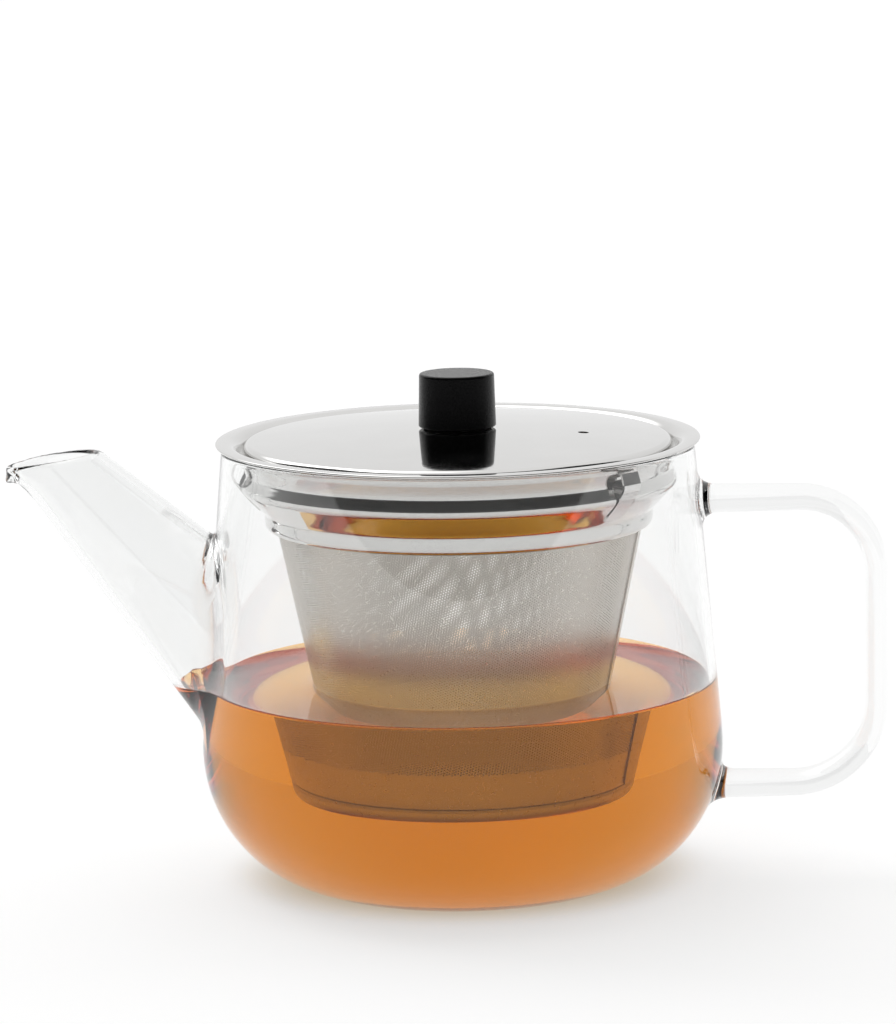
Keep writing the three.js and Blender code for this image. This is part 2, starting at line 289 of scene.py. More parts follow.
def sheet_outline(face, thickness, steps=6):
    """The closed outline of a sheet: the face, a round edge, the back face and a round edge."""
    along = np.gradient(face, axis=0)
    along /= np.linalg.norm(along, axis=1)[:, None]
    outward = np.stack([along[:, 1], -along[:, 0]], 1)
    middle = face - outward * thickness / 2
    half = thickness / 2
    turn = np.linspace(0, math.pi, steps + 1)[1:-1, None]
    end_edge = middle[-1] + half * (outward[-1] * np.cos(turn) + along[-1] * np.sin(turn))
    start_edge = middle[0] - half * (outward[0] * np.cos(turn) + along[0] * np.sin(turn))
    back = (middle - outward * half)[::-1]
    return np.concatenate([face, end_edge, back, start_edge])


def revolve(name, outline, sides, closed):
    """Spins an outline of (radius, height) points round Z.

    One that isn't closed starts and ends on the axis.
    """
    outline = np.asarray(outline, float)
    angles = np.arange(sides) * 2 * math.pi / sides
    ring = outline if closed else outline[1:-1]
    rows = len(ring)
    points = np.stack(
        [
            np.outer(np.cos(angles), ring[:, 0]),
            np.outer(np.sin(angles), ring[:, 0]),
            np.outer(np.ones(sides), ring[:, 1]),
        ],
        -1,
    ).reshape(-1, 3)
    faces = []
    for side in range(sides):
        here, beside = side * rows, (side + 1) % sides * rows
        for row in range(rows if closed else rows - 1):
            above = (row + 1) % rows
            faces.append([here + row, beside + row, beside + above, here + above])
    if not closed:
        low, top = len(points), len(points) + 1
        points = np.concatenate([points, [[0, 0, outline[0, 1]], [0, 0, outline[-1, 1]]]])
        for side in range(sides):
            here, beside = side * rows, (side + 1) % sides * rows
            faces.append([low, beside, here])
            faces.append([here + rows - 1, beside + rows - 1, top])
    return make_object(name, points, faces)


def block(name, size, centre, turn):
    """A box, turned about the pot's axis."""
    corners = np.array([[x, y, z] for x in (-1, 1) for y in (-1, 1) for z in (-1, 1)], float)
    corners = corners * np.array(size) / 2 + np.array(centre)
    rotation = np.array(Matrix.Rotation(turn, 3, "Z"))
    faces = [[0, 1, 3, 2], [4, 6, 7, 5], [0, 4, 5, 1], [2, 3, 7, 6], [0, 2, 6, 4], [1, 5, 7, 3]]
    return make_object(name, corners @ rotation.T, faces)


# ---------------------------------------------------------------- distance fields of the glass


def smooth_min(a, b, reach):
    """The lesser of two distances, blended where they are within reach of each other."""
    overlap = np.maximum(reach - np.abs(a - b), 0) / reach
    return np.minimum(a, b) - overlap * overlap * reach / 4


def smooth_max(a, b, reach):
    return -smooth_min(-a, -b, reach)


def ellipse_distance(x, y, half_x, half_y):
    """Roughly the distance from an ellipse, and exactly zero on it."""
    scaled = np.hypot(x / half_x, y / half_y)
    steep = np.hypot(x / half_x**2, y / half_y**2)
    return scaled * (scaled - 1) / np.maximum(steep, 1e-9)


def body_distance(p, inset):
    """Distance from the pot's turned form, inset inside its outer face."""
    radius, z = np.hypot(p[:, 0], p[:, 1]), p[:, 2]
    rise = np.hypot(z - BELLY_Z, BELLY_SOFTNESS) - BELLY_SOFTNESS
    wall = radius - (BELLY_R - inset - WALL_LEAN * rise)
    foot = ellipse_distance(
        radius - BASE_FLAT_R, z - BELLY_Z, BELLY_R - BASE_FLAT_R - inset, BELLY_Z - inset
    )
    floor = inset - z
    return np.where(z > BELLY_Z, wall, np.where(radius > BASE_FLAT_R, foot, floor))


def drawn_out(p):
    """Undoes the drawing out of the mouth's lower edge into a lip."""
    off = np.sum((p - LIP_PULL_PLACE) ** 2, axis=1) / LIP_PULL_REACH**2
    return p - np.exp(-off)[:, None] * LIP_PULL


def spout_distance(p, inset):
    """Distance from the spout's cone."""
    offset = drawn_out(p) - SPOUT_APEX
    towards_mouth = np.array([-math.cos(SPOUT_SLOPE), 0, math.sin(SPOUT_SLOPE)])
    across = np.array([math.sin(SPOUT_SLOPE), 0, math.cos(SPOUT_SLOPE)])
    along = -(offset @ towards_mouth)
    radius = np.hypot(offset @ across, offset[:, 1] / SPOUT_SQUASH)
    cone = (radius - along * math.tan(SPOUT_HALF_ANGLE) + inset) * math.cos(SPOUT_HALF_ANGLE)
    return np.maximum(cone, along - SPOUT_END)


def mouth_distance(p):
    """Height above the plane that cuts the spout's mouth."""
    above = np.array([-math.sin(MOUTH_TILT), 0, math.cos(MOUTH_TILT)])
    return (drawn_out(p) - MOUTH_CORNER) @ above


def lip_distance(p):
    """Roughly the distance from the drooping bead at the lip's tip."""
    offset = p - LIP_PLACE
    outward = np.array([-math.cos(LIP_DROOP), 0, -math.sin(LIP_DROOP)])
    upward = np.array([-math.sin(LIP_DROOP), 0, math.cos(LIP_DROOP)])
    local = np.stack([offset @ outward, offset[:, 1], offset @ upward], 1)
    scaled = np.linalg.norm(local / LIP_HALF, axis=1)
    steep = np.linalg.norm(local / np.array(LIP_HALF) ** 2, axis=1)
    return scaled * (scaled - 1) / np.maximum(steep, 1e-9)


def weld_blend(p):
    """How far spout and body blend: little at the crotch, and more round the sides."""
    to_side = np.clip(np.abs(p[:, 1]) / WELD_SIDE_Y, 0, 1) ** 2
    return WELD_BLEND + (WELD_SIDE_BLEND - WELD_BLEND) * to_side


def handle_distance(p):
    """Distance from the oval rod along the handle's path."""
    x, z = p[:, 0], p[:, 2]
    top_in, top_down = HANDLE_X - HANDLE_TOP_BEND, HANDLE_TOP_Z - HANDLE_TOP_BEND
    low_in, low_up = HANDLE_X - HANDLE_LOW_BEND, HANDLE_LOW_Z + HANDLE_LOW_BEND
    beyond_top = np.maximum(np.maximum(x - top_in, HANDLE_ROOT_X - x), 0)
    beyond_low = np.maximum(np.maximum(x - low_in, HANDLE_ROOT_X - x), 0)
    beyond_grip = np.maximum(np.maximum(z - top_down, low_up - z), 0)
    top_bend = np.abs(np.hypot(x - top_in, z - top_down) - HANDLE_TOP_BEND)
    low_bend = np.abs(np.hypot(x - low_in, z - low_up) - HANDLE_LOW_BEND)
    parts = [
        np.hypot(beyond_top, z - HANDLE_TOP_Z),
        np.hypot(beyond_low, z - HANDLE_LOW_Z),
        np.hypot(beyond_grip, x - HANDLE_X),
        np.where((x > top_in) & (z > top_down), top_bend, np.inf),
        np.where((x > low_in) & (z < low_up), low_bend, np.inf),
    ]
    off_path = np.minimum.reduce(parts)
    middle = (HANDLE_TOP_Z + HANDLE_LOW_Z) / 2
    reach = (HANDLE_TOP_Z - HANDLE_LOW_Z) / 2
    away = np.clip(np.abs(z - middle) / reach, 0, 1) + np.clip(HANDLE_X - x, 0, 50) / 50
    thick = HANDLE_HALF_THICK + HANDLE_EXTRA_THICK * np.clip(away / 2, 0, 1) ** 2
    return ellipse_distance(off_path, p[:, 1], thick, HANDLE_HALF_WIDTH)


def cavity_distance(p):
    """Distance from the space inside the pot and its spout."""
    inside_body = body_distance(p, GLASS_WALL)
    inside_spout = spout_distance(p, SPOUT_WALL)
    return smooth_min(inside_body, inside_spout, weld_blend(p))


def glass_distance(p):
    """Distance from the fused glass: body, spout and handle, with their fillets."""
    body = smooth_max(body_distance(p, 0), p[:, 2] - RIM_Z, RIM_ROUNDING)
    spout = smooth_max(spout_distance(p, 0), mouth_distance(p), RIM_ROUNDING)
    spout = smooth_min(spout, lip_distance(p), LIP_BLEND)
    form = smooth_min(body, spout, weld_blend(p))
    form = smooth_min(form, handle_distance(p), HANDLE_FILLET)
    return smooth_max(form, -cavity_distance(p), RIM_ROUNDING)


def basket_radius(z):
    return BASKET_LOW_R + BASKET_TAPER * (z - BASKET_LOW_Z)


def slope(field, points, step=0.01):
    """Which way, and how fast, the field grows at the points."""
    grown = [field(points + axis) - field(points - axis) for axis in np.eye(3) * step]
    return np.stack(grown, 1) / (2 * step)


def settle(field, points, rounds=4):
    """Moves points onto the surface where the field is zero."""
    for _ in range(rounds):
        way = slope(field, points)
        steepness = np.maximum(np.sum(way * way, axis=1), 0.05)
        points = points - way * (field(points) / steepness)[:, None]
    return points


def round_axis(radius, turn, height):
    """Points from their distance from the pot's axis, their angle round it and their height."""
    return np.stack(np.broadcast_arrays(radius * np.cos(turn), radius * np.sin(turn), height), -1)


CELL_CORNERS = np.array([[x, y, z] for x in (0, 1) for y in (0, 1) for z in (0, 1)])
CELL_EDGES = [(a, b) for a in range(8) for b in range(a + 1, 8) if bin(a ^ b).count("1") == 1]
TURN_AXIS = 1


def surface_net(field, radii, turns, heights):
    """Points and quads of the surface where the field is zero, one point to a crossed cell.

    The cells lie between the given radii, the turns round the axis and the heights.
    """
    axes = [radii, np.append(turns, turns[0] + 2 * math.pi), heights]
    values = np.stack([ring_values(field, radius, axes[1], heights) for radius in radii])
    inside = values < 0
    size = [len(axis) - 1 for axis in axes]
    count = np.zeros(size, np.int8)
    for corner in CELL_CORNERS:
        count += inside[tuple(slice(c, c + n) for c, n in zip(corner, size))]
    cells = np.argwhere((count > 0) & (count < 8))
    number = np.full(size, -1, np.int64)
    number[tuple(cells.T)] = np.arange(len(cells))
    at_corner = np.stack([values[tuple((cells + corner).T)] for corner in CELL_CORNERS], 1)
    total, crossings = np.zeros((len(cells), 3)), np.zeros(len(cells))
    for a, b in CELL_EDGES:
        first, second = at_corner[:, a], at_corner[:, b]
        crossed = (first < 0) != (second < 0)
        share = np.where(crossed, first / np.where(crossed, first - second, 1), 0)
        along = CELL_CORNERS[b] - CELL_CORNERS[a]
        total += (CELL_CORNERS[a] + share[:, None] * along) * crossed[:, None]
        crossings += crossed
    shares = (total / crossings[:, None]).T
    place = [
        axis[i] + share * (axis[i + 1] - axis[i])
        for axis, i, share in zip(axes, cells.T, shares)
    ]
    return round_axis(*place), net_quads(inside, number)


def ring_values(field, radius, turns, heights):
    """The field at one distance from the axis."""
    points = round_axis(radius, turns[:, None], heights[None, :])
    return field(points.reshape(-1, 3)).reshape(points.shape[:2])


def net_quads(inside, number):
    """A quad round each grid edge that the surface crosses, facing away from the inside."""
    quads = []
    for axis in range(3):
        second, third = (axis + 1) % 3, (axis + 2) % 3
        near = np.take(inside, range(inside.shape[axis] - 1), axis)
        far = np.take(inside, range(1, inside.shape[axis]), axis)
        edges = np.argwhere(near != far)
        for other in (second, third):
            first = 0 if other == TURN_AXIS else 1
            edges = edges[(edges[:, other] >= first) & (edges[:, other] < inside.shape[other] - 1)]
        back_second, back_third = np.eye(3, dtype=int)[second], np.eye(3, dtype=int)[third]
        ring = [edges, edges - back_second, edges - back_second - back_third, edges - back_third]
        quad = np.stack([number[tuple(cells.T)] for cells in ring], 1)
        outward = near[tuple(edges.T)]
        quads.append(np.where(outward[:, None], quad, quad[:, ::-1]))
    return np.concatenate(quads)


def steps(*stretches):
    """Stations along an axis from (start, end, step) stretches, without the last end."""
    stations = [np.arange(start, end - step / 2, step) for start, end, step in stretches]
    return np.concatenate(stations)


# ---------------------------------------------------------------- materials


class Nodes:
    """Short calls to build one node tree."""

    def __init__(self, tree):
        self.tree = tree
        tree.nodes.clear()

    def add(self, kind, inputs=None, **settings):
        node = self.tree.nodes.new(kind)
        for name, value in settings.items():
            setattr(node, name, value)
        for name, value in (inputs or {}).items():
            self.put(node.inputs[name], value)
        return node

    def put(self, socket, value):
        if isinstance(value, bpy.types.NodeSocket):
            self.tree.links.new(value, socket)
        else:
            socket.default_value = value

    def math(self, operation, *values, clamp=False):
        node = self.tree.nodes.new("ShaderNodeMath")
        node.operation = operation
        node.use_clamp = clamp
        for socket, value in zip(node.inputs, values):
            self.put(socket, value)
        return node.outputs[0]

    def ramp(self, value, low, high, start, end):
        """Runs smoothly from start to end as the value goes from low to high."""
        node = self.add("ShaderNodeMapRange", interpolation_type="SMOOTHSTEP")
        for name, given in (("Value", value), ("From Min", low), ("From Max", high)):
            self.put(node.inputs[name], given)
        node.inputs["To Min"].default_value = start
        node.inputs["To Max"].default_value = end
        return node.outputs["Result"]

    def noise(self, scale, detail=3.0, stretch=(1, 1, 1)):
        """A noise value in object space; scale is in waves per metre."""
        place = self.add("ShaderNodeTexCoord").outputs["Object"]
        stretched = self.add("ShaderNodeMapping", {"Vector": place, "Scale": stretch})
        inputs = {"Vector": stretched.outputs[0], "Scale": scale, "Detail": detail}
        return self.add("ShaderNodeTexNoise", inputs).outputs["Fac"]

    def blend(self, factor, first, second):
        """A colour between two plain ones."""
        node = self.add("ShaderNodeMix", data_type="RGBA")
        self.put(node.inputs[0], factor)
        node.inputs[6].default_value = (*first, 1)
        node.inputs[7].default_value = (*second, 1)
        return node.outputs[2]

    def bump(self, height, strength, distance):
        inputs = {"Height": height, "Strength": strength, "Distance": distance}
        return self.add("ShaderNodeBump", inputs).outputs["Normal"]


def new_material(name):
    material = bpy.data.materials.new(name)
    material.use_nodes = True
    return material, Nodes(material.node_tree)


def finish_surface(nodes, inputs):
    """Ends a material's tree in a Principled shader with these inputs."""
    shader = nodes.add("ShaderNodeBsdfPrincipled", inputs)
    output = nodes.add("ShaderNodeOutputMaterial", {"Surface": shader.outputs[0]})
    return output


def make_glass(name, ior, first, second):
    """Clear blown glass: faintly uneven, with a tint between two colours."""
    material, nodes = new_material(name)
    unevenness = nodes.noise(22, 1.0, (1, 1, 0.45))
    tint = nodes.blend(unevenness, first, second)
    finish_surface(
        nodes,
        {
            "Base Color": tint,
            "Roughness": 0.0,
            "IOR": ior,
            "Transmission Weight": 1.0,
            "Normal": nodes.bump(unevenness, 0.08, 0.001),
        },
    )
    return material


def make_tea_colour():
    """Brewed tea, which takes out blue and green with depth."""
    material, nodes = new_material("brewed_tea")
    stir = nodes.noise(30, 1.0)
    tint = nodes.blend(stir, (0.99, 0.98, 0.96), (1.0, 1.0, 1.0))
    inputs = {"Base Color": tint, "Roughness": 0.0, "IOR": 1.0, "Transmission Weight": 1.0}
    output = finish_surface(nodes, inputs)
    depth = {"Color": (0.92, 0.75, 0.05, 1), "Density": 40.0}
    absorption = nodes.add("ShaderNodeVolumeAbsorption", depth)
    nodes.tree.links.new(absorption.outputs[0], output.inputs["Volume"])
    return material


def make_tea_film():
    """The tea's surface, as smooth as water."""
    material, nodes = new_material("tea_film")
    ripple = nodes.noise(12, 1.0)
    tint = nodes.blend(ripple, (0.72, 0.52, 0.36), (0.78, 0.58, 0.42))
    inputs = {"Base Color": tint, "Roughness": 0.0, "IOR": TEA_IOR, "Transmission Weight": 1.0}
    finish_surface(nodes, inputs)
    return material


def make_polished_steel():
    """Deep-drawn steel sheet, polished, with faint wipe marks."""
    material, nodes = new_material("polished_steel")
    wipes = nodes.noise(60, 4.0, (1, 1, 5))
    grain = nodes.noise(900, 2.0, (1, 1, 6))
    finish_surface(
        nodes,
        {
            "Base Color": nodes.blend(wipes, (0.62, 0.615, 0.605), (0.7, 0.695, 0.685)),
            "Metallic": 1.0,
            "Roughness": nodes.ramp(wipes, 0.3, 0.75, 0.045, 0.09),
            "Normal": nodes.bump(grain, 0.02, 0.0002),
        },
    )
    return material


def satin_steel_inputs(nodes):
    """What plain and etched satin steel share."""
    cloud = nodes.noise(45, 4.0)
    grain = nodes.noise(1600, 3.0)
    place = nodes.add("ShaderNodeTexCoord").outputs["Object"]
    height = nodes.add("ShaderNodeSeparateXYZ", {"Vector": place}).outputs[2]
    steel = nodes.blend(cloud, (0.63, 0.595, 0.545), (0.73, 0.695, 0.645))
    dry = nodes.ramp(height, (TEA_Z - 0.5) * MM, (TEA_Z + 0.5) * MM, 0.0, 1.0)
    stain = nodes.add("ShaderNodeMix", data_type="RGBA", blend_type="MULTIPLY")
    nodes.put(stain.inputs[0], 1.0)
    nodes.put(stain.inputs[6], steel)
    nodes.put(stain.inputs[7], nodes.blend(dry, (0.7, 0.6, 0.46), (1.0, 1.0, 1.0)))
    return {
        "Base Color": stain.outputs[2],
        "Metallic": 1.0,
        "Roughness": nodes.ramp(grain, 0.3, 0.7, 0.27, 0.38),
        "Normal": nodes.bump(grain, 0.08, 0.0001),
    }


def make_satin_steel():
    material, nodes = new_material("satin_steel")
    finish_surface(nodes, satin_steel_inputs(nodes))
    return material


def make_etched_steel():
    """Satin sheet with rows of etched holes, laid out on the flat sheet's own map."""
    material, nodes = new_material("etched_steel")
    flat = nodes.add("ShaderNodeUVMap", uv_map="flat_sheet").outputs[0]
    split = nodes.add("ShaderNodeSeparateXYZ", {"Vector": flat})
    across, up = split.outputs[0], split.outputs[1]
    row = nodes.math("ROUND", up)
    stagger = nodes.math("MULTIPLY", nodes.math("FLOORED_MODULO", row, 2.0), 0.5)
    column = nodes.math("ROUND", nodes.math("SUBTRACT", across, stagger))
    hole_x = nodes.math("MULTIPLY", nodes.math("ADD", column, stagger), HOLE_PITCH)
    hole_y = nodes.math("MULTIPLY", row, ROW_PITCH)
    off_x = nodes.math("SUBTRACT", nodes.math("MULTIPLY", across, HOLE_PITCH), hole_x)
    off_y = nodes.math("SUBTRACT", nodes.math("MULTIPLY", up, ROW_PITCH), hole_y)
    radius = length_of(nodes, off_x, off_y)
    from_apex = length_of(nodes, hole_x, hole_y)
    turned = nodes.math("ARCTAN2", hole_x, hole_y)
    tests = [
        nodes.math("LESS_THAN", radius, HOLE_R),
        nodes.math("GREATER_THAN", from_apex, basket_radius(HOLES_LOW_Z) / CONE_SINE),
        nodes.math("LESS_THAN", from_apex, basket_radius(HOLES_TOP_Z) / CONE_SINE),
        nodes.math("GREATER_THAN", turned, (SEAM_MARGIN - math.pi) * CONE_SINE),
        nodes.math("LESS_THAN", turned, math.pi * CONE_SINE),
    ]
    hole = tests[0]
    for test in tests[1:]:
        hole = nodes.math("MULTIPLY", hole, test)
    inputs = satin_steel_inputs(nodes)
    inputs["Alpha"] = nodes.math("SUBTRACT", 1.0, hole)
    finish_surface(nodes, inputs)
    return material


def length_of(nodes, x, y):
    squares = nodes.math("ADD", nodes.math("MULTIPLY", x, x), nodes.math("MULTIPLY", y, y))
    return nodes.math("SQRT", squares)


def make_black_plastic():
    """Moulded black plastic with a fine spark-eroded texture."""
    material, nodes = new_material("black_plastic")
    texture = nodes.noise(2600, 2.0)
    finish_surface(
        nodes,
        {
            "Base Color": nodes.blend(texture, (0.0008, 0.0008, 0.001), (0.003, 0.003, 0.0034)),
            "Roughness": nodes.ramp(texture, 0.35, 0.7, 0.15, 0.28),
            "IOR": 1.2,
            "Normal": nodes.bump(texture, 0.5, 0.00015),
        },
    )
    return material


def make_silicone():
    material, nodes = new_material("grey_silicone")
    dust = nodes.noise(700, 3.0)
    finish_surface(
        nodes,
        {
            "Base Color": nodes.blend(dust, (0.02, 0.02, 0.02), (0.05, 0.05, 0.048)),
            "Roughness": nodes.ramp(dust, 0.3, 0.7, 0.6, 0.8),
        },
    )
    return material


def make_brass():
    material, nodes = new_material("brass")
    cloud = nodes.noise(300, 3.0)
    finish_surface(
        nodes,
        {
            "Base Color": nodes.blend(cloud, (0.72, 0.5, 0.22), (0.8, 0.6, 0.3)),
            "Metallic": 1.0,
            "Roughness": nodes.ramp(cloud, 0.3, 0.7, 0.22, 0.35),
        },
    )
    return material


# ---------------------------------------------------------------- the pot and the tea


def turns_round_pot():
    """Angles round the pot, close together where the handle and the spout are."""
    handle, spout, mouth = HANDLE_SPREAD, SPOUT_SPREAD, MOUTH_SPREAD
    degrees = steps(
        (-handle, handle, FINE_TURN),
        (handle, 180 - spout, COARSE_TURN),
        (180 - spout, 180 - mouth, FINE_TURN),
        (180 - mouth, 180 + mouth, MOUTH_TURN),
        (180 + mouth, 180 + spout, FINE_TURN),
        (180 + spout, 360 - handle, COARSE_TURN),
    )
    return np.radians(degrees)


def make_pot(glass, wet_glass):
    """The fused glass. Its inner face is another material where tea wets it."""
    radii, heights = steps(*GLASS_RADII), steps(*GLASS_HEIGHTS)
    points, quads = surface_net(glass_distance, radii, turns_round_pot(), heights)
    pot = make_object("glass_pot", settle(glass_distance, points), quads)
    mesh = pot.data
    work = bmesh.new()
    work.from_mesh(mesh)
    open_edges = [edge for edge in work.edges if edge.is_boundary]
    caps = bmesh.ops.holes_fill(work, edges=open_edges, sides=0)["faces"]
    bmesh.ops.poke(work, faces=caps)
    wet_z = TEA_Z + MENISCUS_RISE
    wet_line = (0, 0, wet_z * MM)
    everything = work.verts[:] + work.edges[:] + work.faces[:]
    bmesh.ops.bisect_plane(work, geom=everything, plane_co=wet_line, plane_no=(0, 0, 1))
    work.to_mesh(mesh)
    work.free()
    mesh.materials.append(glass)
    mesh.materials.append(wet_glass)
    centres = read_vectors(mesh.polygons, "center") / MM
    on_inner_face = np.abs(cavity_distance(centres)) < GLASS_WALL / 4
    wet = on_inner_face & (centres[:, 2] < wet_z)
    mesh.polygons.foreach_set("material_index", wet.astype(int))
    mesh.polygons.foreach_set("use_smooth", [True] * len(mesh.polygons))
    normals = slope(glass_distance, read_vectors(mesh.vertices, "co") / MM)
    normals /= np.linalg.norm(normals, axis=1)[:, None]
    mesh.normals_split_custom_set_from_vertices(normals.tolist())
    return pot


def read_vectors(items, name):
    values = np.empty(len(items) * 3)
    items.foreach_get(name, values)
    return values.reshape(-1, 3)


def distance_to_glass(start, way):
    """How far it is from the points to the cavity's face, along the ways, found by halving."""
    near, far = np.zeros(len(way)), np.full(len(way), WIDEST_REACH)
    for _ in range(HALVINGS):
        middle = (near + far) / 2
        inside = cavity_distance(start + way * middle[:, None]) < TEA_OVERLAP
        near, far = np.where(inside, middle, near), np.where(inside, far, middle)
    return near


def tea_surface_height(points):
    """The tea's level, raised where it climbs the glass and the basket."""
    from_glass = np.maximum(-cavity_distance(points), 0)
    from_basket = np.abs(np.hypot(points[:, 0], points[:, 1]) - basket_radius(TEA_Z))
    rise = MENISCUS_RISE * np.exp(-from_glass / MENISCUS_REACH)
    return TEA_Z + rise + BASKET_MENISCUS_RISE * np.exp(-from_basket / MENISCUS_REACH)


def tea_side_rows(turns):
    """Rings on the cavity's face, from near the middle of the pot's floor up to the tea's edge."""
    outward = round_axis(1.0, turns, 0.0)
    rows = []
    for dip in np.radians(np.linspace(LOWEST_DIP, 0, SIDE_RINGS)):
        way = outward * math.cos(dip) + np.array([0, 0, math.sin(dip)])
        start = np.tile([0, 0, TEA_Z], (len(turns), 1))
        rows.append(start + way * distance_to_glass(start, way)[:, None])
    for height in (TEA_Z + MENISCUS_RISE / 2, TEA_Z + MENISCUS_RISE):
        start = np.tile([0, 0, height], (len(turns), 1))
        rows.append(start + outward * distance_to_glass(start, outward)[:, None])
    return rows


def tea_surface_rows(turns, edge):
    """Rings of the free surface, from its edge inwards, closer at the glass and the basket."""
    outward = round_axis(1.0, turns, 0.0)
    from_edge = [0.15, 0.35, 0.6, 0.95, 1.4, 2.0, 2.8, 4.0, 6.0, 9.0]
    beyond_basket = [12, 7, 4.5, 3, 2, 1.2, 0.6, 0.25, 0]
    within_basket = [0.25, 0.6, 1.2, 2, 3, 4.5, 8, 15, 25, 35]
    edge_r = np.hypot(edge[:, 0], edge[:, 1])
    radii = [edge_r - gap for gap in from_edge]
    radii += [edge_r * 0 + basket_radius(TEA_Z) + gap for gap in beyond_basket]
    radii += [edge_r * 0 + basket_radius(TEA_Z) - gap for gap in within_basket]
    rows = [edge]
    for radius in radii:
        row = outward * radius[:, None] + np.array([0, 0, TEA_Z])
        row[:, 2] = tea_surface_height(row)
        rows.append(row)
    return rows


def ring_faces(count, rows):
    """Quads between rings of points, each ring above or inside the one before."""
    faces = []
    for row in range(0, (rows - 1) * count, count):
        for side in range(count):
            beside = (side + 1) % count
            faces.append([row + side, row + beside, row + count + beside, row + count + side])
    return faces


def fan_faces(ring, centre, count, upward):
    """Triangles from a ring of points to one in its middle."""
    pairs = [(ring + side, ring + (side + 1) % count) for side in range(count)]
    return [[a, b, centre] if upward else [b, a, centre] for a, b in pairs]


def make_tea_body(material):
    """The tea's bulk, which colours the light but doesn't bend it: glass and surface do that."""
    turns = turns_round_pot()
    count = len(turns)
    rows = tea_side_rows(turns)
    rows += tea_surface_rows(turns, rows[-1])[1:]
    points = np.concatenate(rows + [[[0, 0, rows[0][0, 2]], [0, 0, TEA_Z]]])
    faces = ring_faces(count, len(rows))
    faces += fan_faces(0, len(points) - 2, count, False)
    faces += fan_faces((len(rows) - 1) * count, len(points) - 1, count, True)
    tea = make_object("tea_in_pot", points, faces)
    tea.data.materials.append(material)
    sharpen(tea)
    return tea


def make_tea_surface(material):
    """The tea's free surface, just over its bulk."""
    turns = turns_round_pot()
    count = len(turns)
    rows = tea_surface_rows(turns, tea_side_rows(turns)[-1])
    points = np.concatenate(rows + [[[0, 0, TEA_Z]]]) + np.array([0, 0, TEA_FILM])
    faces = ring_faces(count, len(rows))
    faces += fan_faces((len(rows) - 1) * count, len(points) - 1, count, True)
    surface = make_object("tea_surface", points, faces)
    surface.data.materials.append(material)
    return surface


# ---------------------------------------------------------------- the infuser

ROW_PITCH = HOLE_PITCH * math.sqrt(3) / 2
CONE_SINE = BASKET_TAPER / math.hypot(1, BASKET_TAPER)


def make_collar():
    """The drawn collar: flange, wall, bead and shoulder, with three tongues lanced out of it."""
    face = spline(COLLAR_KNOTS, 5)[::-1]
    wall_r, wall_z = COLLAR_KNOTS[0]
    turn = np.linspace(math.pi, math.pi / 2, 9)[1:]
    bend = np.stack([np.cos(turn) + 1, np.sin(turn)], 1) * FLANGE_BEND_R + [wall_r, wall_z]
    under = FLANGE_TOP_Z - SHEET
    flange = [[wall_r + FLANGE_BEND_R + FLANGE_RUN_IN, under], [FLANGE_R - SHEET / 2, under]]
    face = np.concatenate([face, bend, flange])
    collar = revolve("collar", sheet_outline(face, SHEET), 180, True)
    for angle in TONGUE_ANGLES:
        height = WINDOW_TOP_Z - WINDOW_LOW_Z
        middle = (WINDOW_TOP_Z + WINDOW_LOW_Z) / 2
        size = (WINDOW_DEPTH, WINDOW_WIDTH, height)
        window = block("window", size, (WINDOW_MIDDLE_R, 0, middle), angle)
        combine(collar, window, "DIFFERENCE")
        combine(collar, make_tongue(angle), "UNION")
    sharpen(collar)
    return collar


def make_tongue(angle):
    """A strip that leaves the shoulder, bows out to the glass and curls in at its tip."""
    outline = sheet_outline(spline(TONGUE_KNOTS, 8), TONGUE_SHEET)
    count = len(outline)
    half = TONGUE_WIDTH / 2
    sides = [np.insert(outline, 1, side, axis=1) for side in (-half, half)]
    rotation = np.array(Matrix.Rotation(angle, 3, "Z"))
    points = np.concatenate(sides) @ rotation.T
    faces = [list(range(count)), list(range(2 * count - 1, count - 1, -1))]
    for i in range(count):
        after = (i + 1) % count
        faces.append([i, i + count, after + count, after])
    return make_object("tongue", points, faces)


def make_basket_wall():
    """The etched sheet, rolled into a cone with its ends lapped, and mapped as it lay flat."""
    turn = 2 * math.pi + SEAM_LAP
    stations = np.linspace(0, turn, BASKET_STATIONS)
    lift = BASKET_SHEET * SEAM_LIFT * np.clip(2 - stations / SEAM_LAP, 0, 1)
    heights = np.linspace(BASKET_LOW_Z + BASKET_SHEET / 2, BASKET_TOP_Z, BASKET_ROWS)
    face = np.stack([basket_radius(heights), heights], 1)
    outline = sheet_outline(face, BASKET_SHEET, 4)
    count = len(outline)
    points, flat = [], []
    for angle, out in zip(stations, lift):
        place = SEAM_ANGLE + angle
        radius = outline[:, 0] + out
        strip = [radius * math.cos(place), radius * math.sin(place), outline[:, 1]]
        points.append(np.stack(strip, 1))
        from_apex = basket_radius(outline[:, 1]) / CONE_SINE
        spread = (angle - math.pi) * CONE_SINE
        flat.append(np.stack([from_apex * math.sin(spread), from_apex * math.cos(spread)], 1))
    last = (len(stations) - 1) * count
    faces = [list(range(count))[::-1], list(range(last, last + count))]
    for i in range(len(stations) - 1):
        for row in range(count):
            after = (row + 1) % count
            here, beside = i * count, (i + 1) * count
            faces.append([here + row, beside + row, beside + after, here + after])
    wall = make_object("basket_wall_etched", np.concatenate(points), faces)
    flat = np.concatenate(flat) / np.array([HOLE_PITCH, ROW_PITCH])
    corner_points = np.empty(len(wall.data.loops), int)
    wall.data.loops.foreach_get("vertex_index", corner_points)
    layer = wall.data.uv_layers.new(name="flat_sheet")
    layer.data.foreach_set("uv", flat[corner_points].ravel())
    sharpen(wall)
    return wall


